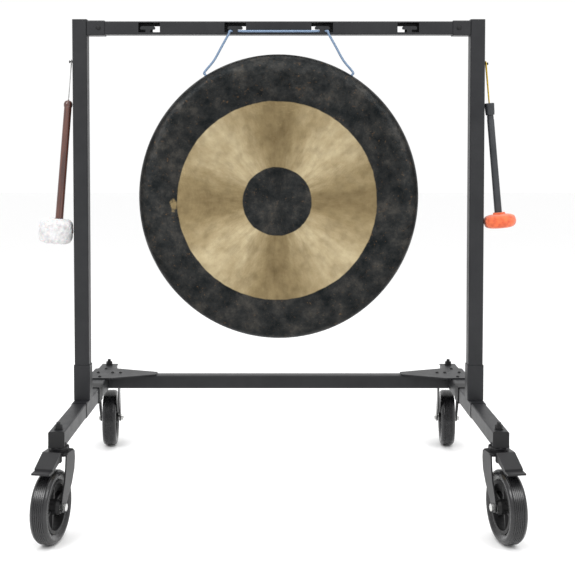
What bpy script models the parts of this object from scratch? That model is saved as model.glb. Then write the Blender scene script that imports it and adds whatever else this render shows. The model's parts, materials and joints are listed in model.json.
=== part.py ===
"""Gong cart: square-tube frame on four swivel casters, hanging gong on a cord, two mallets on pegs.
Metres, +Z up, origin on the floor under the middle of the bounding box; -Y is the front."""
import bpy, bmesh, math
from mathutils import Vector, Matrix

for _o in list(bpy.data.objects):
    bpy.data.objects.remove(_o, do_unlink=True)

MM = 0.001
# ---- driving dimensions (mm) ----
ORIGIN_X, ORIGIN_Y = 5.97, -79.53      # shift of the upright mid-plane so the box is centred
UP_X, UP_SQ, UP_WALL = 611.0, 45.0, 2.0
UP_TOP = 1478.0
BAR_SQ, BAR_Z = 40.0, 1452.0         # top crossbar, telescoped into the stubs
STUB_IN = 535.0                      # inner end of the stubs
RAIL_X, RAIL_SQ, LEG_SQ, RAIL_Z = 613.0, 48.0, 45.0, 276.5
RAIL_Y0, RAIL_Y1 = -60.0, 560.0
LEG_Y0, LEG_Y1 = -398.0, 100.0
SLEEVE_SQ, SLEEVE_TOP = 50.0, 410.0
LOW_Y, LOW_SQ = 382.0, 45.0
PLATE_T = 4.5
WHEEL_R, TYRE_W, TRAIL = 100.0, 50.0, 58.0
GONG_A, GONG_B, GONG_RIM, GONG_T, GONG_Z = 433.4, 443.0, 72.0, 3.0, 927.0
AXIS_Y, AXIS_Z = -24.5, 1434.5       # line the gong swings about
CORD_D = 6.5
GAP = 0.3

def mat(name, col, rough, metal=0.0):
    m = bpy.data.materials.new(name)
    m.use_nodes = True
    b = m.node_tree.nodes["Principled BSDF"]
    b.inputs["Base Color"].default_value = (*col, 1)
    b.inputs["Roughness"].default_value = rough
    b.inputs["Metallic"].default_value = metal
    return m

M = {
    "frame": mat("frame_black", (0.035, 0.035, 0.04), 0.5),
    "cap": mat("cap_black", (0.015, 0.015, 0.016), 0.6),
    "caster": mat("caster_black", (0.02, 0.02, 0.022), 0.4),
    "tyre": mat("tyre", (0.01, 0.01, 0.011), 0.35),
    "hub": mat("hub", (0.02, 0.02, 0.02), 0.5),
    "zinc": mat("zinc", (0.6, 0.6, 0.6), 0.3, 1.0),
    "gong": mat("gong_bronze", (0.45, 0.33, 0.16), 0.35, 1.0),
    "rope": mat("rope_blue", (0.2, 0.35, 0.6), 0.9),
    "string": mat("string_grey", (0.5, 0.5, 0.5), 0.7),
    "yellow": mat("cord_yellow", (0.75, 0.55, 0.05), 0.7),
    "wood": mat("mallet_wood", (0.09, 0.03, 0.02), 0.4),
    "fleece": mat("mallet_fleece", (0.85, 0.85, 0.85), 1.0),
    "black": mat("mallet_black", (0.02, 0.02, 0.022), 0.45),
    "orange": mat("mallet_orange", (0.8, 0.16, 0.05), 0.8),
}

origin = bpy.data.objects.new("cart_origin", None)
origin.location = (ORIGIN_X * MM, ORIGIN_Y * MM, 0)
bpy.context.scene.collection.objects.link(origin)

def empty(name, loc, rot=(0, 0, 0), parent=None):
    e = bpy.data.objects.new(name, None)
    e.location = Vector(loc) * MM
    e.rotation_euler = rot
    e.parent = parent or origin
    bpy.context.scene.collection.objects.link(e)
    return e

def finish(name, bm, material, parent=None, smooth=None, cutter=False):
    bmesh.ops.remove_doubles(bm, verts=bm.verts, dist=1e-4)
    bmesh.ops.recalc_face_normals(bm, faces=bm.faces)
    bmesh.ops.scale(bm, vec=(MM, MM, MM), verts=bm.verts)
    me = bpy.data.meshes.new(name)
    bm.to_mesh(me)
    bm.free()
    if smooth:
        me.shade_smooth()
        me.set_sharp_from_angle(angle=math.radians(smooth))
    me.materials.append(material)
    o = bpy.data.objects.new(name, me)
    o.parent = parent or origin
    bpy.context.scene.collection.objects.link(o)
    if cutter:
        o.hide_render = True
        o.display_type = "WIRE"
    return o

def boolean(o, other, op):
    m = o.modifiers.new(op.lower(), "BOOLEAN")
    m.operation = op
    m.solver = "EXACT"
    m.object = other

def place(axis, a, p, q):
    return {"X": (a, p, q), "Y": (p, a, q), "Z": (p, q, a)}[axis]

def rsq(cp, cq, hp, hq, r, n=1):
    pts = []
    for sx, sy, a0 in ((1, 1, 0), (-1, 1, 90), (-1, -1, 180), (1, -1, 270)):
        for k in range(n + 1):
            a = math.radians(a0 + 90 * k / n)
            pts.append((cp + sx * (hp - r) + r * math.cos(a), cq + sy * (hq - r) + r * math.sin(a)))
    return pts

def loops(bm, axis, outer, inner, a0, a1):
    n = len(outer)
    o0 = [bm.verts.new(place(axis, a0, *p)) for p in outer]
    o1 = [bm.verts.new(place(axis, a1, *p)) for p in outer]
    for k in range(n):
        bm.faces.new((o0[k], o0[(k + 1) % n], o1[(k + 1) % n], o1[k]))
    if inner is None:
        bm.faces.new(o0)
        bm.faces.new(o1)
        return
    i0 = [bm.verts.new(place(axis, a0, *p)) for p in inner]
    i1 = [bm.verts.new(place(axis, a1, *p)) for p in inner]
    for k in range(n):
        j = (k + 1) % n
        bm.faces.new((i0[k], i0[j], i1[j], i1[k]))
        bm.faces.new((o0[k], o0[j], i0[j], i0[k]))
        bm.faces.new((o1[k], o1[j], i1[j], i1[k]))

def sqtube(name, axis, cp, cq, sq, wall, a0, a1, material, r=3.0):
    bm = bmesh.new()
    h = sq / 2
    loops(bm, axis, rsq(cp, cq, h, h, r), rsq(cp, cq, h - wall, h - wall, max(r - wall, 0.6)), a0, a1)
    return finish(name, bm, material, smooth=30)

def solid(bm, axis, pts, a0, a1):
    loops(bm, axis, pts, None, a0, a1)

def lathe(bm, profile, segs, axis="Z", c=(0, 0, 0), closed=False, phase=0.0, sx=1.0, sy=1.0):
    """Turn (radius, height) points about axis; closed joins the last point to the first."""
    rings = []
    for r, h in profile:
        if r < 1e-6:
            p = place(axis, h, 0, 0)
            rings.append([bm.verts.new((p[0] + c[0], p[1] + c[1], p[2] + c[2]))])
            continue
        ring = []
        for k in range(segs):
            a = 2 * math.pi * (k + phase) / segs
            p = place(axis, h, r * math.cos(a) * sx, r * math.sin(a) * sy)
            ring.append(bm.verts.new((p[0] + c[0], p[1] + c[1], p[2] + c[2])))
        rings.append(ring)
    pairs = list(zip(rings, rings[1:])) + ([(rings[-1], rings[0])] if closed else [])
    for ra, rb in pairs:
        for k in range(segs):
            j = (k + 1) % segs
            if len(ra) == 1 and len(rb) == 1:
                continue
            if len(ra) == 1:
                bm.faces.new((ra[0], rb[k], rb[j]))
            elif len(rb) == 1:
                bm.faces.new((ra[k], ra[j], rb[0]))
            else:
                bm.faces.new((ra[k], ra[j], rb[j], rb[k]))

def cord(name, pts, dia, material, parent=None, cyclic=False, res=1):
    cu = bpy.data.curves.new(name, "CURVE")
    cu.dimensions = "3D"
    cu.bevel_depth = dia / 2 * MM
    cu.bevel_resolution = res
    cu.use_fill_caps = not cyclic
    sp = cu.splines.new("POLY")
    sp.points.add(len(pts) - 1)
    for p, q in zip(sp.points, pts):
        p.co = (q[0] * MM, q[1] * MM, q[2] * MM, 1)
    sp.use_cyclic_u = cyclic
    cu.materials.append(material)
    o = bpy.data.objects.new(name, cu)
    o.parent = parent or origin
    bpy.context.scene.collection.objects.link(o)
    return o

def smoothed(ctrl, n):
    """Catmull-Rom through the control points, n points in each span."""
    c = [Vector(p) for p in ctrl]
    c = [2 * c[0] - c[1]] + c + [2 * c[-1] - c[-2]]
    out = []
    for k in range(1, len(c) - 2):
        for s in range(n):
            t = s / n
            a, b, d, e = c[k - 1], c[k], c[k + 1], c[k + 2]
            out.append(0.5 * ((2 * b) + (d - a) * t + (2 * a - 5 * b + 4 * d - e) * t * t + (3 * b - a - 3 * d + e) * t ** 3))
    out.append(c[-2])
    return out

RAIL_TOP = RAIL_Z + RAIL_SQ / 2
LEG_TOP = RAIL_Z + LEG_SQ / 2
SIDES = (("left", -1), ("right", 1))

# ---- cutters for the kingpin bores ----
FRONT_PIN = (612.5, -372.0)
REAR_PIN = (613.6, 530.0)
bm = bmesh.new()
for s in (-1, 1):
    for px, py in (FRONT_PIN, REAR_PIN):
        lathe(bm, [(0, 240), (6.5, 240), (6.5, 320), (0, 320)], 10, c=(s * px, py, 0))
pin_bores = finish("pin_bores", bm, M["frame"], cutter=True)

# ---- frame ----
for side, s in SIDES:
    sqtube("upright_" + side, "Z", s * UP_X, 0, UP_SQ, UP_WALL, RAIL_TOP + GAP, UP_TOP - 2, M["frame"])
    sqtube("top_stub_" + side, "X", 0, BAR_Z, UP_SQ, UP_WALL - 0.3, s * STUB_IN, s * (UP_X - UP_SQ / 2 - GAP), M["frame"])
    sqtube("base_sleeve_" + side, "Z", s * UP_X, 0, SLEEVE_SQ, 2.0, RAIL_TOP + GAP, SLEEVE_TOP, M["frame"])
    rail = sqtube("base_rail_" + side, "Y", s * RAIL_X, RAIL_Z, RAIL_SQ, 1.1, RAIL_Y0, RAIL_Y1, M["frame"])
    leg = sqtube("front_leg_" + side, "Y", s * RAIL_X, RAIL_Z, LEG_SQ, 2.0, LEG_Y0, LEG_Y1, M["frame"])
    boolean(rail, pin_bores, "DIFFERENCE")
    boolean(leg, pin_bores, "DIFFERENCE")
    sqtube("rail_collar_" + side, "Y", s * RAIL_X, RAIL_Z, 54.0, 2.6, 154, 215, M["cap"])
    # corner plate: wide over the rail, tapering along the crossbar, with a tail back over the caster bolt
    p = [(652, 303), (645, 296), (570, 296), (424, LOW_Y - 21), (424, LOW_Y + 21), (572, 464), (585, 472), (585, 552),
         (641, 552), (641, 470), (652, 462)]
    bm = bmesh.new()
    solid(bm, "Z", [(s * x, y) for x, y in p], RAIL_TOP + GAP, RAIL_TOP + PLATE_T)
    boolean(finish("corner_plate_" + side, bm, M["frame"]), pin_bores, "DIFFERENCE")

# top crossbar with four hanging slots, each with a T-shaped hook left standing in its front wall
bar = sqtube("top_crossbar", "X", 0, BAR_Z, BAR_SQ, UP_WALL, -587.5, 587.5, M["frame"], r=2.5)
bm = bmesh.new()
bm2 = bmesh.new()
SLOTS = [(-397.5, 33, -1), (-133.5, 33, -1), (133.5, 33, 1), (397.5, 33, 1)]
for cx, hw, s in SLOTS:
    nx = cx if abs(cx) < 200 else cx + s * 4
    x0, x1, z0, z1 = cx - hw, cx + hw, 1438.0, 1468.0
    a0, a1 = nx - 7, nx + 7
    b0, b1 = max(x0 + 6, nx - 23), min(x1 - 6, nx + 23)
    pts = [(x0, z0), (a0, z0), (a0, 1446.5), (b0 + 2, 1446.5), (b0, 1449), (b0, 1453), (b0 + 4, 1457), (b1 - 4, 1457),
           (b1, 1453), (b1, 1449), (b1 - 2, 1446.5), (a1, 1446.5), (a1, z0), (x1, z0), (x1, z1), (x0, z1)]
    vs = [[bm.verts.new((x, y, z)) for x, z in pts] for y in (-24, -14)]
    n = len(pts)
    for k in range(n):
        bm.faces.new((vs[0][k], vs[0][(k + 1) % n], vs[1][(k + 1) % n], vs[1][k]))
    bm.faces.new(vs[0])
    bm.faces.new(vs[1])
    ex = cx - s * hw                       # edge of the slot nearest the middle of the cart
    q0, q1 = sorted((ex, ex + s * 26))
    solid(bm2, "Y", [(q0, 1443), (q1, 1443), (q1, 1461), (q0, 1461)], 12, 26)
boolean(bar, finish("slot_cutter", bm, M["frame"], cutter=True), "DIFFERENCE")
boolean(bar, finish("slot_back_cutter", bm2, M["frame"], cutter=True), "DIFFERENCE")

bx = RAIL_X - RAIL_SQ / 2 - 0.4
sqtube("lower_crossbar", "X", LOW_Y, RAIL_TOP - LOW_SQ / 2, LOW_SQ, 2.0, -bx, bx, M["frame"])

for side, s in SIDES:
    bm = bmesh.new()   # plug in the top of the upright
    solid(bm, "Z", rsq(s * UP_X, 0, 22.5, 22.5, 3), UP_TOP - 1.7, UP_TOP)
    finish("upright_cap_" + side, bm, M["cap"])
    bm = bmesh.new()   # plug in the front leg's end
    solid(bm, "Y", rsq(s * RAIL_X, RAIL_Z, 22.5, 22.5, 3), LEG_Y0 - 2.6, LEG_Y0 - GAP)
    finish("leg_cap_" + side, bm, M["cap"])
    bm = bmesh.new()   # plug in the rail's rear end
    solid(bm, "Y", rsq(s * RAIL_X, RAIL_Z, 24, 24, 3), RAIL_Y1 + GAP, RAIL_Y1 + 3)
    finish("rail_cap_" + side, bm, M["cap"])
    bm = bmesh.new()   # domed screw that locks the crossbar in the stub
    lathe(bm, [(0, -22.5 - GAP), (6.5, -22.5 - GAP), (6.2, -25.5), (4, -27.6), (0, -28)], 14, axis="Y", c=(s * 553, 0, BAR_Z))
    finish("stub_screw_" + side, bm, M["cap"], smooth=40)

# ---- casters ----
def caster(tag, px, py, yaw, base_z, nut_z, brake):
    sw = empty("swivel_" + tag, (px, py, 0), (0, 0, yaw))
    ax = empty("spin_" + tag, (0, -TRAIL, WHEEL_R), parent=sw)
    bm = bmesh.new()
    lathe(bm, [(0, 222), (11, 222), (11, 231.6), (6, 231.6), (6, 246.3), (29, 246.3), (30, 248), (30, base_z - 2), (28, base_z - GAP),
               (6, base_z - GAP), (6, nut_z + GAP), (12.5, nut_z + GAP), (12.5, nut_z + 2), (10, nut_z + 2.2), (10, nut_z + 12), (6, nut_z + 12.4),
               (6, nut_z + 19), (4.5, nut_z + 21), (0, nut_z + 21)], 12, c=(px, py, 0))
    finish("kingpin_" + tag, bm, M["caster"], smooth=40)
    # fork: crown with raceway disc and two tapering cheeks
    bm = bmesh.new()
    lathe(bm, [(0, 238), (27, 238), (27, 246), (0, 246)], 14)
    disc = finish("fork_disc_" + tag, bm, M["caster"], sw, cutter=True)
    cheek = [(26, 236), (29, 215), (24, 185), (4, 150), (-34, 108), (-44, 91), (-58, 85), (-72, 91), (-75, 104), (-66, 132), (-48, 165),
             (-38, 200), (-34, 236)]
    bm = bmesh.new()
    solid(bm, "X", cheek, -37, -33)
    solid(bm, "X", cheek, 33, 37)
    cheeks = finish("fork_cheeks_" + tag, bm, M["caster"], sw, cutter=True)
    bm = bmesh.new()
    lathe(bm, [(0, 215), (7, 215), (7, 250), (0, 250)], 10)
    bore = finish("fork_bore_" + tag, bm, M["caster"], sw, cutter=True)
    bm = bmesh.new()
    lathe(bm, [(0, -45), (6.5, -45), (6.5, 45), (0, 45)], 10, axis="X", c=(0, -TRAIL, WHEEL_R))
    axle_bore = finish("axle_bore_" + tag, bm, M["caster"], sw, cutter=True)
    bm = bmesh.new()
    solid(bm, "Z", rsq(0, -3, 37, 31, 8), 232, 240)
    fork = finish("fork_" + tag, bm, M["caster"], sw)
    boolean(fork, cheeks, "UNION")
    boolean(fork, disc, "UNION")
    boolean(fork, bore, "DIFFERENCE")
    boolean(fork, axle_bore, "DIFFERENCE")
    bm = bmesh.new()
    lathe(bm, [(0, -47), (5, -47), (6, -45.5), (10.5, -45), (10.5, -37.4), (6, -37.4), (6, 37.4), (10.5, 37.4), (10.5, 44), (5.5, 45), (0, 45)],
          10, axis="X", c=(0, -TRAIL, WHEEL_R))
    finish("axle_" + tag, bm, M["zinc"], sw)
    # wheel: a flat of the faceted tread lies on the floor
    n = 28
    k = 1 / math.cos(math.pi / n)
    bm = bmesh.new()
    prof = [(73.6, -17), (86, -24), (95, -21.5), (100, -9), (100, 9), (95, 21.5), (86, 24), (73.6, 17)]
    lathe(bm, [(r * k, h) for r, h in prof], n, axis="X", closed=True, phase=0.5 - n / 4 + n)
    finish("tyre_" + tag, bm, M["tyre"], ax, smooth=35)
    bm = bmesh.new()
    lathe(bm, [(6.5, -29), (17, -29), (21, -20), (21, 20), (17, 29), (6.5, 29)], 12, axis="X", closed=True)
    core = finish("hub_core_" + tag, bm, M["hub"], ax, cutter=True)
    bm = bmesh.new()
    for i in range(6):
        a = math.radians(60 * i + 20)
        c, d = math.cos(a), math.sin(a)
        quad = [(16 * c - 4 * d, 16 * d + 4 * c), (16 * c + 4 * d, 16 * d - 4 * c), (66 * c + 3 * d, 66 * d - 3 * c), (66 * c - 3 * d, 66 * d + 3 * c)]
        solid(bm, "X", quad, -7, 7)
    spokes = finish("hub_spokes_" + tag, bm, M["hub"], ax, cutter=True)
    bm = bmesh.new()
    lathe(bm, [(63, -18), (73, -18), (73, 18), (63, 18)], n, axis="X", closed=True, phase=0.5 - n / 4 + n)
    hub = finish("hub_" + tag, bm, M["hub"], ax, smooth=35)
    boolean(hub, spokes, "UNION")
    boolean(hub, core, "UNION")
    if brake:
        pv = empty("pedal_pivot_" + tag, (0, -46, 228), parent=sw)
        prof = [(-52, 248), (-108, 218), (-109, 213), (-131, 211), (-131, 206), (-106, 208), (-62, 222), (-50, 219), (-41, 222), (-41, 233), (-47, 244)]
        bm = bmesh.new()
        solid(bm, "X", [(y + 46, z - 228) for y, z in prof], -26, 26)
        finish("brake_pedal_" + tag, bm, M["caster"], pv)

YAW_F, YAW_R = math.radians(10.0), math.radians(4.3)
caster("front_left", -FRONT_PIN[0], FRONT_PIN[1], -YAW_F, LEG_TOP - LEG_SQ, LEG_TOP, True)
caster("front_right", FRONT_PIN[0], FRONT_PIN[1], YAW_F, LEG_TOP - LEG_SQ, LEG_TOP, True)
caster("rear_left", -REAR_PIN[0], REAR_PIN[1], math.pi + YAW_R, RAIL_Z - RAIL_SQ / 2, RAIL_TOP + PLATE_T, False)
caster("rear_right", REAR_PIN[0], REAR_PIN[1], math.pi - YAW_R, RAIL_Z - RAIL_SQ / 2, RAIL_TOP + PLATE_T, False)
# ---- gong: dished disc, its rim turned back; hung so its mass lies under the swing axis ----
face = [(0, 0), (110, 0.8), (210, 3), (300, 6.5), (370, 11.5), (405, 18), (425, 28), (433.4, 42), (432, 58), (429, GONG_RIM)]
back = []
for k, (r, y) in enumerate(face):
    if k == 0:
        back.append((0, y + GONG_T))
        continue
    r0, y0 = face[k - 1]
    r1, y1 = face[k + 1] if k + 1 < len(face) else (2 * r - r0, 2 * y - y0)
    tr, ty = r1 - r0, y1 - y0
    ln = math.hypot(tr, ty)
    back.append((r - ty / ln * GONG_T, y + tr / ln * GONG_T))
area = moment_y = 0.0
for (r0, y0), (r1, y1) in zip(face, face[1:]):
    da = math.pi * (r0 + r1) * math.hypot(r1 - r0, y1 - y0)
    area += da
    moment_y += da * (y0 + y1) / 2
com_y = moment_y / area + 1.2
HOLE_X, HOLE_Y = 224.0, 45.0
hole_z = GONG_B * math.sqrt(1 - (HOLE_X / GONG_A) ** 2)
tilt = math.atan2(HOLE_Y - com_y, hole_z)     # the mass hangs under the holes
gong_pivot = empty("gong_swing", (0, AXIS_Y, AXIS_Z))
# gong frame: origin at the middle of the line between the two holes
gx = empty("gong_seat", (0, 0, GONG_Z + hole_z - AXIS_Z), (tilt, 0, 0), parent=gong_pivot)
bm = bmesh.new()
prof = face + [back[-1]] + back[-2::-1]
lathe(bm, [(r, y - HOLE_Y) for r, y in prof], 44, axis="Y", c=(0, 0, -hole_z), sx=1.0, sy=GONG_B / GONG_A)
gong = finish("gong", bm, M["gong"], gx, smooth=50)
bm = bmesh.new()
for s in (-1, 1):
    a = math.atan2(HOLE_X, hole_z)
    R = Matrix.Rotation(s * a, 4, "Y")
    before = len(bm.verts)
    tmp = bmesh.new()
    lathe(tmp, [(0, -14), (5, -14), (5, 14), (0, 14)], 10)
    bmesh.ops.transform(tmp, matrix=Matrix.Translation((s * HOLE_X, 0, 0)) @ R, verts=tmp.verts)
    me = bpy.data.meshes.new("hole_tmp")
    tmp.to_mesh(me)
    tmp.free()
    bm.from_mesh(me)
boolean(gong, finish("gong_hole_cutter", bm, M["gong"], gx, cutter=True), "DIFFERENCE")

# ---- gong cord: one run held by the crossbar hooks, two falls that swing with the gong ----
H = Vector((-HOLE_X, 0, GONG_Z + hole_z - AXIS_Z))
nrm = Vector((-HOLE_X, 0, hole_z)).normalized()
top = Vector((-152.0, 0, 0))
for side, s in SIDES:
    d = (H - top).normalized()
    ctrl = [top + d * 2.6, top + d * 45, top + d * 95, H + nrm * 9 - d * 3, H + nrm * 2, H - nrm * 9]
    pts = [Vector((p.x * (1 if s < 0 else -1), p.y, p.z)) for p in smoothed(ctrl, 3)]
    cord("gong_cord_" + side, pts, CORD_D, M["rope"], gong_pivot)
ctrl = [(-152, AXIS_Y, AXIS_Z), (-151.6, -24.5, 1438), (-150.2, -24.2, 1441), (-147.3, -20.5, 1442), (-141, -13.8, 1442), (-133.5, -12.4, 1441.8),
        (-126, -13.8, 1442), (-119.5, -20.5, 1442), (-112, -24.0, 1441.4), (-90, -24.4, 1441)]
half = smoothed(ctrl, 3)
run = half + [Vector((x, -24.4, 1441)) for x in (-45, 0, 45)] + [Vector((-p[0], p[1], p[2])) for p in reversed(half)]
cord("gong_cord_run", run, CORD_D, M["rope"])

# ---- mallets on pegs at the uprights' outer faces ----
def frame_xy(side_sign, z):
    return (side_sign * 640.0, 0, z)

for side, s, z in (("left", -1, 1350), ("right", 1, 1344)):
    bm = bmesh.new()
    x0 = s * (UP_X + UP_SQ / 2 + GAP)
    prof = [(0, x0), (5, x0), (5, x0 + s * 1.2), (2.5, x0 + s * 1.6), (2.5, x0 + s * 10), (4.2, x0 + s * 11), (4.2, x0 + s * 13), (0, x0 + s * 13.6)]
    lathe(bm, prof, 12, axis="X", c=(0, 0, z))
    finish("mallet_peg_" + side, bm, M["cap"], smooth=40)

ml = empty("mallet_left_swing", frame_xy(-1, 1350), (0, math.radians(4.9), 0))
loop = []
for k in range(9):
    a = math.pi * k / 8
    loop.append((0, 6 * math.cos(a), 6 * math.sin(a)))
loop += [(0, -4.5, -50), (0, -2.2, -108), (0, -1.4, -112.5), (0, 0, -114.2), (0, 1.4, -112.5), (0, 2.2, -108), (0, 4.5, -50)]
cord("mallet_left_string", loop, 2.0, M["string"], ml, cyclic=True)
bm = bmesh.new()
lathe(bm, [(0, -115.8), (2, -116.2), (2, -119.4), (6, -120), (11, -124), (13.5, -131), (13, -139), (10.5, -145), (11.6, -150), (11.8, -300), (12.2, -480), (12.2, -484.6),
           (0, -484.6)], 12)
finish("mallet_left_handle", bm, M["wood"], ml, smooth=50)
bm = bmesh.new()
lathe(bm, [(0, -485), (34, -485), (48, -490), (54, -503), (54.5, -525), (54, -548), (48, -560), (34, -565), (0, -565)], 16, c=(-7.5, 0, 0))
finish("mallet_left_head", bm, M["fleece"], ml, smooth=60)

mr = empty("mallet_right_swing", frame_xy(1, 1344), (0, math.radians(-5.2), 0))
loop = [(0, 2.2, -121.6), (0, 2.6, -115), (0, 5.2, -60)] + [(0, 6.5 * math.cos(math.pi * k / 8), 6.5 * math.sin(math.pi * k / 8)) for k in range(9)] + [(0, -5.2, -60), (0, -2.6, -115), (0, -2.2, -121.6)]
cord("mallet_right_cord", loop, 3.0, M["yellow"], mr)
bm = bmesh.new()
lathe(bm, [(0, -122), (14, -122), (15.2, -124), (13.6, -156), (12.5, -159), (0, -159)], 12)
finish("mallet_right_cap", bm, M["black"], mr, smooth=50)
bm = bmesh.new()
lathe(bm, [(0, -159.3), (9, -159.3), (10, -163), (10.8, -168), (11, -300), (11.5, -461), (0, -461)], 12)
finish("mallet_right_handle", bm, M["black"], mr, smooth=50)
bm = bmesh.new()
lathe(bm, [(0, -461.4), (18, -461.4), (19, -466.5), (34, -468.5), (45, -473), (49.5, -484), (49, -495), (43, -505), (30, -509.5), (0, -510.5)], 16, c=(2.5, 0, 0))
finish("mallet_right_head", bm, M["orange"], mr, smooth=60)
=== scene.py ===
import bpy, bmesh, math, json
from mathutils import Vector, Matrix, noise

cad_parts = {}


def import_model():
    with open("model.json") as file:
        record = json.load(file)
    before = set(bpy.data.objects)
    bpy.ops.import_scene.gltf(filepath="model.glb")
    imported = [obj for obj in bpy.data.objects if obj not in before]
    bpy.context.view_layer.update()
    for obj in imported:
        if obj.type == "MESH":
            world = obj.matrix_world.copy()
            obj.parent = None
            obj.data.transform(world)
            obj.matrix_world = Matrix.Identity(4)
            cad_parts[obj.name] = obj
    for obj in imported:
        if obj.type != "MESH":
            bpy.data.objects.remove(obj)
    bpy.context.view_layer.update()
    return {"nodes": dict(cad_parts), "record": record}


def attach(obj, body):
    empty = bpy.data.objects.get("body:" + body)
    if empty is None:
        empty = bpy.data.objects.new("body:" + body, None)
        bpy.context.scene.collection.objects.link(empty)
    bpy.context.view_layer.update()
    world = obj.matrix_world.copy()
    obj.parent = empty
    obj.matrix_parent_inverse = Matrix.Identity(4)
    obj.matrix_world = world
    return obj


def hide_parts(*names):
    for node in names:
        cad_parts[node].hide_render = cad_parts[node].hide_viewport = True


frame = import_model()
OX, OY = 0.00597, -0.07953
N = frame["nodes"]

# ------------------------------------------------------------------ materials
class Mat:
    def __init__(self, name, **sockets):
        self.m = bpy.data.materials.new(name)
        self.m.use_nodes = True
        self.t = self.m.node_tree
        self.b = self.t.nodes["Principled BSDF"]
        for k, v in sockets.items():
            self.b.inputs[k.replace("_", " ")].default_value = v
        self.c = self.n("ShaderNodeTexCoord").outputs["Object"]

    def n(self, kind, **inp):
        x = self.t.nodes.new(kind)
        for k, v in inp.items():
            self.put(x.inputs[k.replace("_", " ")], v)
        return x

    def put(self, sock, v):
        if isinstance(v, bpy.types.NodeSocket):
            self.t.links.new(v, sock)
        else:
            sock.default_value = v

    def noise(self, scale, detail=3, rough=0.5, vec=None):
        x = self.n("ShaderNodeTexNoise", Vector=vec or self.c, Scale=scale, Detail=detail, Roughness=rough)
        return x.outputs["Fac"]

    def math(self, op, a, b=0.0, c=0.0):
        x = self.n("ShaderNodeMath")
        x.operation = op
        self.put(x.inputs[0], a)
        self.put(x.inputs[1], b)
        self.put(x.inputs[2], c)
        return x.outputs[0]

    def ramp(self, fac, stops):
        x = self.n("ShaderNodeValToRGB", Fac=fac)
        e = x.color_ramp.elements
        while len(e) < len(stops):
            e.new(0.5)
        for k, (p, col) in zip(e, stops):
            k.position = p
            k.color = (*col, 1)
        return x.outputs["Color"]

    def mix(self, fac, a, b, mode="MIX"):
        x = self.n("ShaderNodeMix")
        x.data_type = "RGBA"
        x.blend_type = mode
        self.put(x.inputs[0], fac)
        self.put(x.inputs[6], a)
        self.put(x.inputs[7], b)
        return x.outputs[2]

    def bump(self, h, strength, dist=0.001):
        x = self.n("ShaderNodeBump", Height=h, Strength=strength, Distance=dist)
        self.t.links.new(x.outputs["Normal"], self.b.inputs["Normal"])

    def color(self, c):
        self.put(self.b.inputs["Base Color"], c)

    def rough(self, c):
        self.put(self.b.inputs["Roughness"], c)


def powder(name, dark, light, r0, r1, grain=900):
    m = Mat(name)
    m.b.inputs["Specular IOR Level"].default_value = 0.28
    m.color(m.ramp(m.noise(9, 5, 0.6), [(0.3, dark), (0.7, light)]))
    m.rough(m.math("MULTIPLY_ADD", m.noise(30, 4), r1 - r0, r0))
    m.bump(m.noise(grain, 2), 0.25, 0.0004)
    return m.m

M = {}
M["frame_black"] = powder("m_frame", (0.009, 0.0095, 0.011), (0.016, 0.0165, 0.018), 0.36, 0.5)
M["cap_black"] = powder("m_cap", (0.006, 0.006, 0.0065), (0.011, 0.011, 0.0115), 0.5, 0.65, 600)
M["caster_black"] = powder("m_caster", (0.007, 0.007, 0.008), (0.013, 0.013, 0.014), 0.3, 0.42, 700)
M["hub"] = powder("m_hub", (0.005, 0.005, 0.005), (0.010, 0.010, 0.011), 0.4, 0.55, 500)
M["mallet_black"] = powder("m_grip", (0.022, 0.024, 0.027), (0.04, 0.042, 0.046), 0.4, 0.55, 500)
m = Mat("m_zinc", Metallic=1.0)
m.color(m.ramp(m.noise(120, 3), [(0.3, (0.5, 0.5, 0.5)), (0.7, (0.72, 0.72, 0.7))]))
m.rough(m.math("MULTIPLY_ADD", m.noise(200, 3), 0.2, 0.2))
M["zinc"] = m.m
m = Mat("m_tyre")
m.color(m.ramp(m.noise(25, 5), [(0.35, (0.006, 0.006, 0.007)), (0.7, (0.014, 0.014, 0.015))]))
m.rough(m.math("MULTIPLY_ADD", m.noise(40, 4), 0.22, 0.16))
m.bump(m.noise(300, 3), 0.12, 0.0004)
M["tyre"] = m.m
m = Mat("m_wood")
m.b.inputs["Coat Weight"].default_value = 0.5
m.b.inputs["Coat Roughness"].default_value = 0.15
st = m.n("ShaderNodeMapping", Vector=m.c, Scale=(60, 60, 3)).outputs[0]
g = m.noise(2.2, 6, 0.65, st)
m.color(m.ramp(g, [(0.35, (0.035, 0.010, 0.007)), (0.55, (0.085, 0.026, 0.016)), (0.75, (0.13, 0.045, 0.028))]))
m.rough(0.38)
m.bump(g, 0.15, 0.0005)
M["mallet_wood"] = m.m
m = Mat("m_fleece")
m.b.inputs["Sheen Weight"].default_value = 0.15
m.b.inputs["Subsurface Weight"].default_value = 0.15
m.color(m.ramp(m.noise(90, 5), [(0.3, (0.44, 0.44, 0.45)), (0.6, (0.62, 0.62, 0.62))]))
m.rough(0.95)
m.bump(m.noise(260, 5, 0.7), 0.8, 0.003)
M["mallet_fleece"] = m.m
m = Mat("m_orange")
m.b.inputs["Sheen Weight"].default_value = 0.3
m.color(m.ramp(m.noise(70, 5), [(0.3, (0.50, 0.075, 0.025)), (0.6, (0.72, 0.14, 0.045))]))
m.rough(0.85)
m.bump(m.noise(420, 4, 0.7), 0.6, 0.0012)
M["mallet_orange"] = m.m

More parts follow.
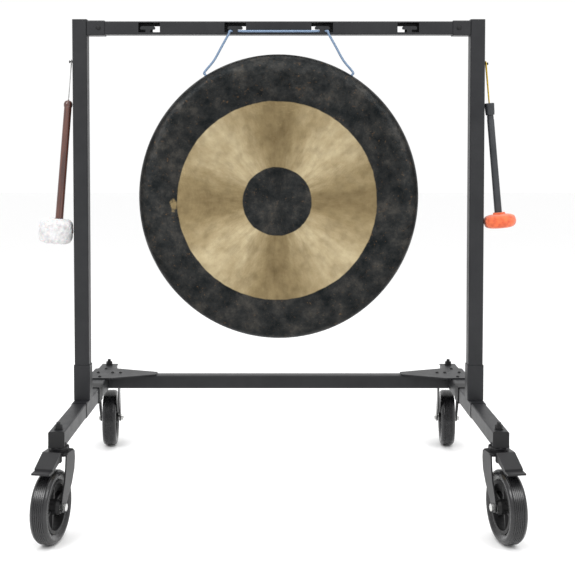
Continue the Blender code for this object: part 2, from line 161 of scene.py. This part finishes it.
def braid(name, c0, c1, scale, axis_mix=(1, 1, 1)):
    m = Mat(name)
    mp = m.n("ShaderNodeMapping", Vector=m.c, Rotation=(0.5, 0.7, 0.6)).outputs[0]
    w = m.n("ShaderNodeTexWave", Vector=mp, Scale=scale, Distortion=1.5).outputs["Fac"]
    m.color(m.mix(m.noise(500, 3), m.ramp(w, [(0.3, c0), (0.7, c1)]), (*c0, 1)))
    m.rough(0.8)
    m.bump(w, 0.6, 0.001)
    return m.m
M["rope_blue"] = braid("m_rope", (0.07, 0.12, 0.20), (0.36, 0.46, 0.60), 90)
M["string_grey"] = braid("m_string", (0.22, 0.22, 0.22), (0.55, 0.55, 0.53), 160)
M["cord_yellow"] = braid("m_yellow", (0.42, 0.27, 0.01), (0.85, 0.62, 0.05), 130)

# gong: dark patina rim band and boss, turned and hammered bronze ring between
m = Mat("m_gong", Metallic=1.0)
m.b.inputs["Anisotropic"].default_value = 0.75
tg = m.n("ShaderNodeTangent")
tg.direction_type = "RADIAL"
tg.axis = "Y"
m.t.links.new(tg.outputs[0], m.b.inputs["Tangent"])
sep = m.n("ShaderNodeSeparateXYZ", Vector=m.c)
X, Z = m.math("ADD", sep.outputs[0], 0.0050), m.math("ADD", sep.outputs[2], 0.0055)
rr = m.math("SQRT", m.math("ADD", m.math("MULTIPLY", X, X), m.math("MULTIPLY", Z, Z)))
wob = m.math("MULTIPLY_ADD", m.noise(28, 4), 0.006, -0.003)
rw = m.math("ADD", rr, wob)
ang = m.math("ARCTAN2", Z, X)
ring_in = m.n("ShaderNodeMapRange", Value=rw, From_Min=0.1045, From_Max=0.1075).outputs[0]
ring_out = m.n("ShaderNodeMapRange", Value=rw, From_Min=0.3085, From_Max=0.3055).outputs[0]
ring = m.math("MULTIPLY", ring_in, ring_out)
# turned grooves and hammer marks
groove = m.math("SINE", m.math("MULTIPLY", rr, 1500.0))
ham = m.n("ShaderNodeTexVoronoi", Vector=m.c, Scale=30.0).outputs["Distance"]
ham2 = m.noise(22, 4, 0.6)
pol = m.n("ShaderNodeCombineXYZ", X=m.math("MULTIPLY", ang, 2.2), Y=m.math("MULTIPLY", rr, 4.0)).outputs[0]
streak = m.noise(3.0, 6, 0.65, pol)
# painted highlight: broad lighter fans towards the four diagonals stand in for the turned ring's sheen, mixed with
# random turned streaks of tone
painted_highlight_fan = m.math("POWER", m.math("ABSOLUTE", m.math("SINE", m.math("MULTIPLY", ang, 2.0))), 1.6)
gold_streak_and_painted_fans = m.ramp(m.math("MULTIPLY_ADD", painted_highlight_fan, 0.42, m.math("MULTIPLY", streak, 0.62)),
                [(0.18, (0.15, 0.110, 0.055)), (0.42, (0.27, 0.210, 0.112)), (0.62, (0.39, 0.315, 0.185)), (0.86, (0.60, 0.51, 0.33))])
gold = m.mix(m.math("MULTIPLY", m.noise(120, 5, 0.7), 0.35), gold_streak_and_painted_fans, (0.13, 0.085, 0.04, 1))
# painted shade: random darker blotches multiplied into the ring stand in for the shading of hammer dents
painted_dent_shade = m.ramp(m.noise(30, 2, 0.5), [(0.36, (0.58, 0.57, 0.54)), (0.5, (0.92, 0.92, 0.90)), (0.64, (1.0, 1.0, 0.98))])
gold = m.mix(0.4, gold, painted_dent_shade, "MULTIPLY")
pat = m.ramp(m.noise(17, 8, 0.7), [(0.36, (0.010, 0.012, 0.013)), (0.52, (0.026, 0.027, 0.027)), (0.68, (0.056, 0.053, 0.048))])
spk = m.n("ShaderNodeMapRange", Value=m.noise(75, 6, 0.75), From_Min=0.60, From_Max=0.72).outputs[0]
pat = m.mix(m.math("MULTIPLY", spk, 0.55), pat, (0.20, 0.115, 0.055, 1))
fine = m.n("ShaderNodeMapRange", Value=m.noise(260, 4, 0.7), From_Min=0.62, From_Max=0.75).outputs[0]
pat = m.mix(m.math("MULTIPLY", fine, 0.35), pat, (0.30, 0.22, 0.13, 1))
# worn chip of bare metal just outside the ring, at the left
cx = m.math("SUBTRACT", X, -0.318); cz = m.math("SUBTRACT", Z, -0.012)
dd = m.math("SQRT", m.math("ADD", m.math("MULTIPLY", cx, cx), m.math("MULTIPLY", m.math("MULTIPLY", cz, cz), 0.35)))
chip = m.n("ShaderNodeMapRange", Value=m.math("ADD", dd, m.math("MULTIPLY", m.noise(90, 4), 0.02)), From_Min=0.022, From_Max=0.017).outputs[0]
cover = m.math("MAXIMUM", ring, chip)
m.color(m.mix(cover, pat, gold))
m.rough(m.math("ADD", m.math("MULTIPLY_ADD", cover, -0.06, 0.42), m.math("MULTIPLY", m.noise(45, 5), 0.14)))
h = m.math("ADD", m.math("MULTIPLY", groove, m.math("MULTIPLY", cover, 0.04)), m.math("ADD", m.math("MULTIPLY", ham, 0.5), ham2))
m.bump(h, 0.75, 0.004)
M["gong_bronze"] = m.m

slots = {s["node"]: s["material_slot"] for s in frame["record"]["subparts"]}
for name, ob in N.items():
    ob.data.materials.clear()
    ob.data.materials.append(M[slots[name]])

# ------------------------------------------------------------------ mesh helpers
def obj(name, bm, slot, body, mw=None, smooth=40, nodes=()):
    bmesh.ops.recalc_face_normals(bm, faces=bm.faces)
    me = bpy.data.meshes.new(name)
    bm.to_mesh(me)
    bm.free()
    me.shade_smooth()
    me.set_sharp_from_angle(angle=math.radians(smooth))
    me.materials.append(M[slot])
    o = bpy.data.objects.new(name, me)
    bpy.context.scene.collection.objects.link(o)
    if mw is not None:
        o.matrix_world = mw
    bpy.context.view_layer.update()
    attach(o, body)
    if nodes:
        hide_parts(*nodes)
    return o

def turned(profile, segs, axis, closed=False, f=None):
    bm = bmesh.new()
    rings = []
    for r, h in profile:
        if r < 1e-7:
            rings.append([bm.verts.new({"X": (h, 0, 0), "Y": (0, h, 0), "Z": (0, 0, h)}[axis])])
            continue
        ring = []
        for k in range(segs):
            a = 2 * math.pi * k / segs
            rr2 = r if f is None else f(r, h, a)
            c, s = rr2 * math.cos(a), rr2 * math.sin(a)
            ring.append(bm.verts.new({"X": (h, c, s), "Y": (c, h, s), "Z": (c, s, h)}[axis]))
        rings.append(ring)
    for ra, rb in list(zip(rings, rings[1:])) + ([(rings[-1], rings[0])] if closed else []):
        for k in range(segs):
            j = (k + 1) % segs
            if len(ra) == 1:
                bm.faces.new((ra[0], rb[k], rb[j]))
            elif len(rb) == 1:
                bm.faces.new((ra[k], ra[j], rb[0]))
            else:
                bm.faces.new((ra[k], ra[j], rb[j], rb[k]))
    return bm

def arc(pts, n):
    c = [Vector(p) for p in pts]
    c = [2 * c[0] - c[1]] + c + [2 * c[-1] - c[-2]]
    out = []
    for k in range(1, len(c) - 2):
        for s in range(n):
            t = s / n
            a, b, d, e = c[k - 1], c[k], c[k + 1], c[k + 2]
            out.append(0.5 * ((2 * b) + (d - a) * t + (2 * a - 5 * b + 4 * d - e) * t * t + (3 * b - a - 3 * d + e) * t ** 3))
    out.append(c[-2])
    return out

# ------------------------------------------------------------------ gong
A, B, T, HX, HY = 0.4334, 0.443, 0.003, 0.224, 0.045
hz = B * math.sqrt(1 - (HX / A) ** 2)
face = [(0, 0), (0.110, 0.0008), (0.210, 0.003), (0.300, 0.0065), (0.370, 0.0115), (0.405, 0.018), (0.425, 0.028), (0.4334, 0.042), (0.432, 0.058), (0.429, 0.072)]
area = mom = 0.0
for (r0, y0), (r1, y1) in zip(face, face[1:]):
    da = math.pi * (r0 + r1) * math.hypot(r1 - r0, y1 - y0)
    area += da
    mom += da * (y0 + y1) / 2
tilt = math.atan2(HY - (mom / area + 0.0012), hz)
prof = arc([(r, y, 0) for r, y in face], 9)
front = [(max(p.x, 0.0), p.y) for p in prof]
back = []
for k in range(1, len(front)):
    r0, y0 = front[k - 1]
    r1, y1 = front[min(k + 1, len(front) - 1)]
    ln = math.hypot(r1 - r0, y1 - y0)
    back.append((front[k][0] - (y1 - y0) / ln * T, front[k][1] + (r1 - r0) / ln * T))
ring = front + back[::-1] + [(0, T)]
bm = turned(ring, 168, "Y")
for v in bm.verts:
    r = math.hypot(v.co.x, v.co.z)
    w = min(1.0, r / 0.08) * min(1.0, max(0.0, (0.44 - r) / 0.03))
    q = Vector((v.co.x, 0, v.co.z))
    d = 0.0011 * noise.noise(q * 13) + 0.0006 * noise.noise(q * 34 + Vector((5, 0, 3))) + 0.0016 * noise.noise(q * 5 + Vector((2, 0, 9)))
    v.co.y += d * w
    e = 1 + 0.0022 * noise.noise(Vector((math.atan2(v.co.z, v.co.x) * 1.3, 3.1, 0)))
    v.co.x *= e
    v.co.z *= e * B / A
gong_m = Matrix.Translation((OX, OY - 0.0245, 0.927 + hz)) @ Matrix.Rotation(tilt, 4, "X") @ Matrix.Translation((0, -HY, -hz))
gong = obj("gong_disc", bm, "gong_bronze", "gong_body", gong_m, 60, ["gong"])

# ------------------------------------------------------------------ cords
def cord(name, pts, dia, slot, body, nodes, cyclic=False, mw=None):
    cu = bpy.data.curves.new(name, "CURVE")
    cu.dimensions = "3D"
    cu.bevel_depth = dia / 2
    cu.bevel_resolution = 4
    cu.use_fill_caps = not cyclic
    sp = cu.splines.new("POLY")
    sp.points.add(len(pts) - 1)
    for p, q in zip(sp.points, pts):
        p.co = (q[0], q[1], q[2], 1)
    sp.use_cyclic_u = cyclic
    cu.materials.append(M[slot])
    o = bpy.data.objects.new(name, cu)
    bpy.context.scene.collection.objects.link(o)
    if mw is not None:
        o.matrix_world = mw
    bpy.context.view_layer.update()
    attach(o, body)
    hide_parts(*nodes)
    return o

AY, AZ = -0.0245, 1.4345
H = Vector((-HX, 0, 0.927 + hz - AZ))
nr = Vector((-HX, 0, hz)).normalized()
top = Vector((-0.152, 0, 0))
d = (H - top).normalized()
for side, s in (("left", -1), ("right", 1)):
    c = [top + d * 0.0006, top + d * 0.045, top + d * 0.095, H + nr * 0.009 - d * 0.003, H + nr * 0.002, H - nr * 0.009]
    pts = [(p.x * -s + OX, OY + AY, p.z + AZ) for p in arc(c, 8)]
    cord("cord_fall_" + side, pts, 0.0072, "rope_blue", "gong_body", ["gong_cord_" + side])
    bm = turned([(0, -0.008), (0.005, -0.006), (0.0075, 0), (0.005, 0.006), (0, 0.008)], 20, "Z")
    p = H - nr * 0.012
    obj("cord_knot_" + side, bm, "rope_blue", "gong_body", Matrix.Translation((p.x * -s + OX, OY + AY, p.z + AZ)), 80)
c = [(-0.152, AY, AZ), (-0.1516, -0.0245, 1.438), (-0.1502, -0.0242, 1.441), (-0.1473, -0.0205, 1.442), (-0.141, -0.0138, 1.442), (-0.1335, -0.0124, 1.4418),
     (-0.126, -0.0138, 1.442), (-0.1195, -0.0205, 1.442), (-0.112, -0.024, 1.4414), (-0.09, -0.0244, 1.441)]
half = arc(c, 8)
run = half + [Vector((x, -0.0244, 1.441)) for x in (-0.06, -0.03, 0, 0.03, 0.06)] + [Vector((-p.x, p.y, p.z)) for p in reversed(half)]
cord("cord_run", [(p.x + OX, p.y + OY, p.z) for p in run], 0.0072, "rope_blue", "frame", ["gong_cord_run"])

# ------------------------------------------------------------------ wheels
YF, YR = math.radians(10.0), math.radians(4.3)
PINS = {"front_left": (-0.6125, -0.372, -YF), "front_right": (0.6125, -0.372, YF), "rear_left": (-0.6136, 0.530, math.pi + YR), "rear_right": (0.6136, 0.530, math.pi - YR)}
tp = []
half_p = [(0.0736, 0.017), (0.079, 0.0205), (0.0855, 0.0238), (0.0905, 0.0242), (0.0945, 0.0222), (0.0975, 0.0185), (0.0988, 0.0160)]
side_p = [(p.x, p.y) for p in arc([(a, b, 0) for a, b in half_p], 3)]
tread = []
for w in (0.0128, 0.0078, 0.0026):        # ribs with narrow grooves between them
    tread += [(0.0985, w + 0.0019), (0.1000, w + 0.0012), (0.1000, w - 0.0012), (0.0985, w - 0.0019)]
up = side_p + tread
tp = up + [(r, -h) for r, h in reversed(up)]
for tag, (px, py, a) in PINS.items():
    mw = Matrix.Translation((px + OX, py + OY, 0)) @ Matrix.Rotation(a, 4, "Z") @ Matrix.Translation((0, -0.058, 0.1))
    obj("tread_" + tag, turned(tp, 96, "X", True), "tyre", "wheel_" + tag, mw, 35, ["tyre_" + tag])
    for s in (-1, 1):                      # bearing dust cap on each side of the axle
        bm = turned([(0.0065, s * 0.0293), (0.013, s * 0.0293), (0.013, s * 0.0315), (0.0065, s * 0.0315)], 32, "X", True)
        obj("bearing_%s_%s" % (tag, "ab"[(s + 1) // 2]), bm, "zinc", "wheel_" + tag, mw, 35)

# ------------------------------------------------------------------ bolt heads, nuts
def dome(name, loc, r, h, axis, body="frame", slot="cap_black"):
    prof = [(r, 0), (r, h * 0.35)] + [(r * math.cos(t), h * (0.35 + 0.65 * math.sin(t))) for t in [0.3, 0.6, 0.9, 1.1]] + [(r * 0.42, h), (r * 0.4, h * 0.5), (0, h * 0.5)]
    bm = turned([(0, 0)] + prof, 28, "Z")
    rot = {"Z": Matrix.Identity(4), "-Y": Matrix.Rotation(math.radians(90), 4, "X"), "X": Matrix.Rotation(math.radians(90), 4, "Y"), "-X": Matrix.Rotation(math.radians(-90), 4, "Y")}[axis]
    obj(name, bm, slot, body, Matrix.Translation((loc[0] + OX, loc[1] + OY, loc[2])) @ rot, 30)

for side, s in (("left", -1), ("right", 1)):
    for i, (x, y) in enumerate(((0.630, 0.389), (0.613, 0.318), (0.613, 0.454), (0.552, 0.386), (0.579, 0.386))):
        dome("plate_bolt_%s_%d" % (side, i), (s * x, y, 0.3051), 0.0055, 0.0036, "Z")
    dome("leg_pin_" + side, (s * 0.5904, -0.385, 0.262), 0.0045, 0.002, "-X" if s > 0 else "X")
for tag, (px, py, a) in PINS.items():
    z = 0.2993 if "front" in tag else 0.3053
    bm = turned([(0.0062, z + 0.0023), (0.0112, z + 0.0023), (0.0112, z + 0.0122), (0.0062, z + 0.0122)], 6, "Z", True)
    obj("stem_nut_" + tag, bm, "cap_black", "frame", Matrix.Translation((px + OX, py + OY, 0)), 30)

# ------------------------------------------------------------------ mallets
ml = Matrix.Translation((-0.640 + OX, OY, 1.350)) @ Matrix.Rotation(math.radians(4.9), 4, "Y")
mr = Matrix.Translation((0.640 + OX, OY, 1.344)) @ Matrix.Rotation(math.radians(-5.2), 4, "Y")
hp = arc([(0.0001, -0.1158, 0), (0.002, -0.1164, 0), (0.0022, -0.119, 0), (0.006, -0.1201, 0), (0.011, -0.124, 0), (0.0134, -0.131, 0), (0.0127, -0.139, 0), (0.0106, -0.1435, 0),
          (0.0106, -0.1465, 0), (0.0116, -0.1505, 0), (0.0118, -0.30, 0), (0.0122, -0.478, 0), (0.0122, -0.4846, 0)], 5)
obj("handle_left", turned([(0, -0.1156)] + [(abs(p.x), p.y) for p in hp] + [(0, -0.4846)], 40, "Z"), "mallet_wood", "mallet_left", ml, 50, ["mallet_left_handle"])
fp = arc([(0.0001, -0.4852, 0), (0.020, -0.4856, 0), (0.038, -0.4885, 0), (0.050, -0.497, 0), (0.0535, -0.510, 0), (0.0535, -0.530, 0), (0.0525, -0.548, 0), (0.046, -0.5605, 0),
          (0.030, -0.5648, 0), (0.0001, -0.565, 0)], 8)
bm = turned([(0, -0.485)] + [(abs(p.x), p.y) for p in fp] + [(0, -0.565)], 120, "Z")
for v in bm.verts:
    q = v.co * 60
    k = 0.0022 * noise.noise(q) + 0.0014 * noise.noise(q * 3.1) - 0.0014
    n = Vector((v.co.x, v.co.y, (v.co.z + 0.525) * 1.3)).normalized()
    v.co += n * k
    v.co.x -= 0.0075
obj("fleece_left", bm, "mallet_fleece", "mallet_left", ml, 180, ["mallet_left_head"])
lp = [(0, 0.006 * math.cos(math.pi * k / 10), 0.006 * math.sin(math.pi * k / 10)) for k in range(11)]
lp += [(0.0012, -0.0045, -0.05), (0, -0.0022, -0.108), (0, -0.0014, -0.1125), (0, 0, -0.1142), (0, 0.0014, -0.1125), (0, 0.0022, -0.108), (-0.0012, 0.0045, -0.05)]
cord("string_left", lp, 0.002, "string_grey", "mallet_left", ["mallet_left_string"], True, ml)
lp = [(0, 0.0022, -0.1216), (0, 0.0026, -0.115), (0, 0.0052, -0.06)] + [(0, 0.0065 * math.cos(math.pi * k / 10), 0.0065 * math.sin(math.pi * k / 10)) for k in range(11)] + [(0, -0.0052, -0.06), (0, -0.0026, -0.115), (0, -0.0022, -0.1216)]
cord("cord_right", lp, 0.0034, "cord_yellow", "mallet_right", ["mallet_right_cord"], False, mr)
cp = [(0, -0.122), (0.0128, -0.122), (0.0148, -0.1228), (0.0153, -0.1245), (0.0150, -0.130), (0.0142, -0.150), (0.0136, -0.1565), (0.0125, -0.159), (0, -0.159)]
obj("cap_right", turned(cp, 40, "Z"), "mallet_black", "mallet_right", mr, 40, ["mallet_right_cap"])
hp = [(0, -0.1593), (0.0092, -0.1593)] + [(0.0098 + 0.0007 * (i % 2), -0.161 - 0.0022 * i) for i in range(5)] + [(0.0108, -0.173), (0.0110, -0.30), (0.0115, -0.461), (0, -0.461)]
obj("handle_right", turned(hp, 40, "Z"), "mallet_black", "mallet_right", mr, 40, ["mallet_right_handle"])
fp = arc([(0.0001, -0.4614, 0), (0.015, -0.4615, 0), (0.0182, -0.4625, 0), (0.019, -0.4662, 0), (0.023, -0.4680, 0), (0.035, -0.4692, 0), (0.0455, -0.4745, 0), (0.0494, -0.485, 0),
          (0.0488, -0.495, 0), (0.0435, -0.5045, 0), (0.030, -0.5092, 0), (0.0001, -0.5104, 0)], 7)
bm = turned([(0, -0.4614)] + [(abs(p.x), p.y) for p in fp] + [(0, -0.5105)], 96, "Z")
for v in bm.verts:
    k = 0.0007 * noise.noise(v.co * 90)
    v.co += Vector((v.co.x, v.co.y, 0)).normalized() * k if v.co.xy.length > 1e-4 else Vector()
    v.co.x += 0.0025
obj("felt_right", bm, "mallet_orange", "mallet_right", mr, 60, ["mallet_right_head"])

# ------------------------------------------------------------------ stage, light, camera
bm = bmesh.new()
bmesh.ops.create_grid(bm, x_segments=2, y_segments=2, size=30)
me = bpy.data.meshes.new("floor")
bm.to_mesh(me)
floor = bpy.data.objects.new("floor", me)
bpy.context.scene.collection.objects.link(floor)
fm = Mat("m_floor")
fm.color((0.96, 0.96, 0.96, 1))
fm.rough(0.9)
me.materials.append(fm.m)
floor.location.z = -0.0005
w = bpy.data.worlds.new("studio")
bpy.context.scene.world = w
w.use_nodes = True
w.node_tree.nodes["Background"].inputs[0].default_value = (1, 1, 1, 1)
w.node_tree.nodes["Background"].inputs[1].default_value = 1.02

def area_light(name, loc, target, size, power):
    l = bpy.data.lights.new(name, "AREA")
    l.shape = "RECTANGLE"
    l.size, l.size_y = size
    l.energy = power
    o = bpy.data.objects.new(name, l)
    o.location = loc
    o.rotation_euler = (Vector(target) - Vector(loc)).to_track_quat("-Z", "Y").to_euler()
    bpy.context.scene.collection.objects.link(o)
area_light("key_left", (-2.2, -2.6, 3.2), (0, 0, 0.9), (1.4, 1.4), 70)
area_light("key_right", (2.4, -2.4, 3.0), (0, 0, 0.9), (1.4, 1.4), 50)
area_light("top", (0, 0.2, 3.6), (0, 0, 0.5), (3.0, 3.0), 60)

cam = bpy.data.cameras.new("camera")
cam.sensor_width = 36
cam.sensor_fit = "HORIZONTAL"
cam.lens = 67.05
cam.shift_x = 0.0153
cam.shift_y = -0.1487
cam.clip_end = 100
co = bpy.data.objects.new("camera", cam)
co.location = (OX, OY - 0.0225 - 3.300, 1.050)
co.rotation_euler = (math.radians(90 - 2.3), 0, 0)
bpy.context.scene.collection.objects.link(co)
bpy.context.scene.camera = co
bpy.context.scene.view_settings.view_transform = "Standard"
